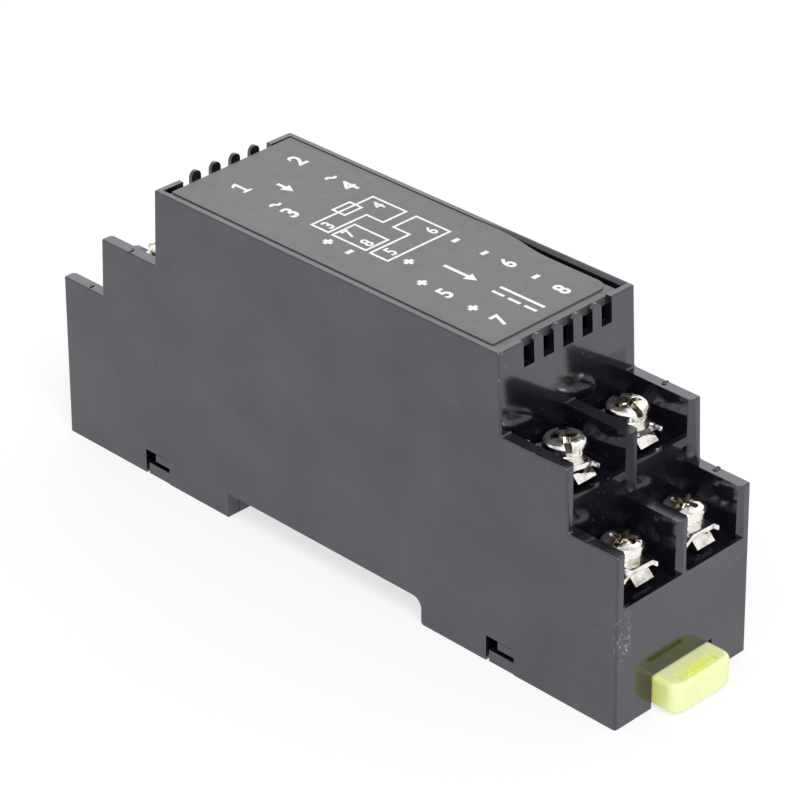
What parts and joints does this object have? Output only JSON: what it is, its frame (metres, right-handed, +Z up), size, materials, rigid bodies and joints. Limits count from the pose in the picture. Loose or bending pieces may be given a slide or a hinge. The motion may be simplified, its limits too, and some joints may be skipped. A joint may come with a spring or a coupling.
{
  "type": "signal isolator",
  "caption": "Rail-mounted signal isolator in a stepped housing with two tiers of screw terminals at each end, a labelled lid and a sprung rail clip.",
  "frame": {"origin": "middle of the rail seat, the notch's ceiling, over the centre line of a fitted rail", "axes": "+X along the module towards the sliding clip, +Y along the rail, +Z up away from the rail"},
  "size_m": [0.1112, 0.0258, 0.0474],
  "materials": {
    "black_plastic": "glossy moulded",
    "label_film": "satin printed film",
    "clip_plastic": "translucent moulded",
    "spring_steel": "drawn wire",
    "nickel_plate": "bright nickel plate",
    "board": "green solder mask",
    "ferrite": "sintered",
    "bobbin_plastic": "moulded",
    "winding_tape": "polyester tape",
    "can_sleeve": "shrunk sleeve",
    "box_capacitor": "moulded box",
    "chip_body": "moulded epoxy",
    "trimmer_blue": "moulded",
    "resistor_body": "lacquered"
  },
  "bodies": {
    "module": {"housing": "black_plastic", "top_cover": "black_plastic", "base_cover": "black_plastic", "label_film": "label_film", "clip_spring": "spring_steel", "terminal_plate_1": "nickel_plate", "terminal_plate_2": "nickel_plate", "terminal_plate_3": "nickel_plate", "terminal_plate_4": "nickel_plate", "terminal_plate_5": "nickel_plate", "terminal_plate_6": "nickel_plate", "terminal_plate_7": "nickel_plate", "terminal_plate_8": "nickel_plate", "wire_clamp_1": "nickel_plate", "wire_clamp_2": "nickel_plate", "wire_clamp_3": "nickel_plate", "wire_clamp_4": "nickel_plate", "wire_clamp_5": "nickel_plate", "wire_clamp_6": "nickel_plate", "wire_clamp_7": "nickel_plate", "wire_clamp_8": "nickel_plate", "terminal_screw_1": "nickel_plate", "terminal_screw_2": "nickel_plate", "terminal_screw_3": "nickel_plate", "terminal_screw_4": "nickel_plate", "terminal_screw_5": "nickel_plate", "terminal_screw_6": "nickel_plate", "terminal_screw_7": "nickel_plate", "terminal_screw_8": "nickel_plate", "circuit_board": "board", "transformer_core": "ferrite", "transformer_bobbin": "bobbin_plastic", "transformer_winding": "winding_tape", "filter_capacitors": "can_sleeve", "film_capacitors": "box_capacitor", "regulator": "chip_body", "isolation_amplifier": "chip_body", "controller_chip": "chip_body", "optocoupler": "chip_body", "zero_trimmer": "trimmer_blue", "span_trimmer": "trimmer_blue", "resistors": "resistor_body", "diodes": "chip_body", "output_choke": "ferrite"},
    "clip": {"rail_clip": "clip_plastic"}
  },
  "joints": [
    {"name": "clip_slide", "type": "slide", "parent": "module", "child": "clip", "axis": [1, 0, 0], "range_m": [0, 0.003], "stiffness_N_per_m": 500, "springref_m": -0.004, "deforming": ["clip_spring"]}
  ]
}
